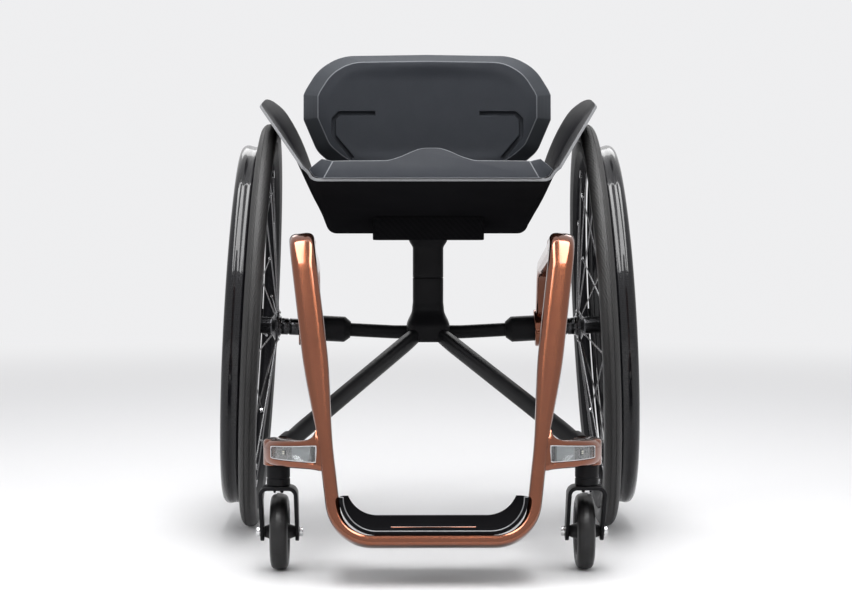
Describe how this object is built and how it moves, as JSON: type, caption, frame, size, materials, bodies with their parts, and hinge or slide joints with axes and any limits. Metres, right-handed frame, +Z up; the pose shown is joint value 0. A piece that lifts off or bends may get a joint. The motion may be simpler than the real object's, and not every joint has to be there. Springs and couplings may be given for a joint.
{
  "type": "rigid lightweight wheelchair",
  "caption": "Rigid self-propelled wheelchair with a one-loop front frame, carbon bucket seat with wheel guards, cambered spoked rear wheels with push rims and swivelling front casters.",
  "frame": {"origin": "on the floor under the middle of the footprint", "axes": "+Z up, the front of the chair faces -Y, +X is to the right as seen in the picture"},
  "size_m": [0.605, 0.8788, 0.7063],
  "materials": {
    "copper_frame": "satin metallic lacquer",
    "black_frame": "black anodised",
    "matt_carbon": "satin carbon laminate",
    "gloss_carbon": "gloss carbon laminate",
    "foam_cover": "matt sewn cover over foam",
    "wheel_tyre": "matt rubber",
    "caster_rubber": "matt rubber",
    "bright_steel": "bright",
    "black_plastic": "satin",
    "clear_lens": "clear",
    "light_board": "matt"
  },
  "bodies": {
    "chassis": {"axle_receiver_left": "bright_steel", "axle_receiver_right": "bright_steel", "axle_sleeve_left": "black_frame", "axle_sleeve_right": "black_frame", "camber_tube": "black_frame", "caster_arm_left": "copper_frame", "caster_arm_right": "copper_frame", "caster_housing_left": "black_frame", "caster_housing_right": "black_frame", "column_base": "black_frame", "footplate": "matt_carbon", "footplate_strip": "copper_frame", "front_frame": "copper_frame", "light_board_left": "light_board", "light_board_right": "light_board", "light_lens_left": "clear_lens", "light_lens_right": "clear_lens", "post_clamp_screw": "bright_steel", "quick_release_axle_left": "bright_steel", "quick_release_axle_right": "bright_steel", "side_rail_left": "copper_frame", "side_rail_right": "copper_frame", "stem_bearing_left": "bright_steel", "stem_bearing_right": "bright_steel", "strut_left": "black_frame", "strut_right": "black_frame"},
    "seat": {"backrest_bracket_left": "black_frame", "backrest_bracket_right": "black_frame", "backrest_hinge_pin_left": "bright_steel", "backrest_hinge_pin_right": "bright_steel", "seat_cushion": "foam_cover", "seat_mount_plate": "black_frame", "seat_post": "black_frame", "seat_shell": "matt_carbon"},
    "backrest": {"backrest_pad": "foam_cover", "backrest_shell": "matt_carbon"},
    "rear_wheel_left": {"hub_and_spokes_left": "bright_steel", "hub_bearings_left": "bright_steel", "pushrim_left": "gloss_carbon", "rear_rim_left": "matt_carbon", "rear_tyre_left": "wheel_tyre"},
    "release_button_left": {"quick_release_button_left": "bright_steel"},
    "caster_swivel_left": {"caster_axle_bolt_left": "bright_steel", "caster_fork_left": "black_frame", "caster_stem_bolt_left": "bright_steel"},
    "caster_roller_left": {"caster_tyre_left": "caster_rubber", "caster_wheel_left": "black_plastic"},
    "rear_wheel_right": {"hub_and_spokes_right": "bright_steel", "hub_bearings_right": "bright_steel", "pushrim_right": "gloss_carbon", "rear_rim_right": "matt_carbon", "rear_tyre_right": "wheel_tyre"},
    "release_button_right": {"quick_release_button_right": "bright_steel"},
    "caster_swivel_right": {"caster_axle_bolt_right": "bright_steel", "caster_fork_right": "black_frame", "caster_stem_bolt_right": "bright_steel"},
    "caster_roller_right": {"caster_tyre_right": "caster_rubber", "caster_wheel_right": "black_plastic"}
  },
  "joints": [
    {"name": "seat_height", "type": "slide", "parent": "chassis", "child": "seat", "axis": [0, 0, 1], "range_m": [0, 0.03]},
    {"name": "backrest_fold", "type": "hinge", "parent": "seat", "child": "backrest", "pos_m": [0, 0.26044, 0.53], "axis": [1, 0, 0], "range_deg": [0, 45]},
    {"name": "rear_wheel_spin_left", "type": "hinge", "parent": "chassis", "child": "rear_wheel_left", "pos_m": [-0.249, 0.13944, 0.29959], "axis": [0.9986, 0, -0.0523], "continuous": true},
    {"name": "release_button_push_left", "type": "slide", "parent": "chassis", "child": "release_button_left", "axis": [0.9986, 0, -0.0523], "range_m": [0, 0.004], "stiffness_N_per_m": 800, "springref_m": -0.002},
    {"name": "caster_swivel_turn_left", "type": "hinge", "parent": "chassis", "child": "caster_swivel_left", "pos_m": [-0.203, -0.32556, 0.12], "axis": [0, 0, 1], "continuous": true},
    {"name": "caster_roll_left", "type": "hinge", "parent": "caster_swivel_left", "child": "caster_roller_left", "pos_m": [-0.203, -0.28556, 0.0508], "axis": [1, 0, 0], "continuous": true},
    {"name": "rear_wheel_spin_right", "type": "hinge", "parent": "chassis", "child": "rear_wheel_right", "pos_m": [0.249, 0.13944, 0.29959], "axis": [0.9986, 0, 0.0523], "continuous": true},
    {"name": "release_button_push_right", "type": "slide", "parent": "chassis", "child": "release_button_right", "axis": [-0.9986, 0, -0.0523], "range_m": [0, 0.004], "stiffness_N_per_m": 800, "springref_m": -0.002},
    {"name": "caster_swivel_turn_right", "type": "hinge", "parent": "chassis", "child": "caster_swivel_right", "pos_m": [0.203, -0.32556, 0.12], "axis": [0, 0, 1], "continuous": true},
    {"name": "caster_roll_right", "type": "hinge", "parent": "caster_swivel_right", "child": "caster_roller_right", "pos_m": [0.203, -0.28556, 0.0508], "axis": [1, 0, 0], "continuous": true}
  ]
}
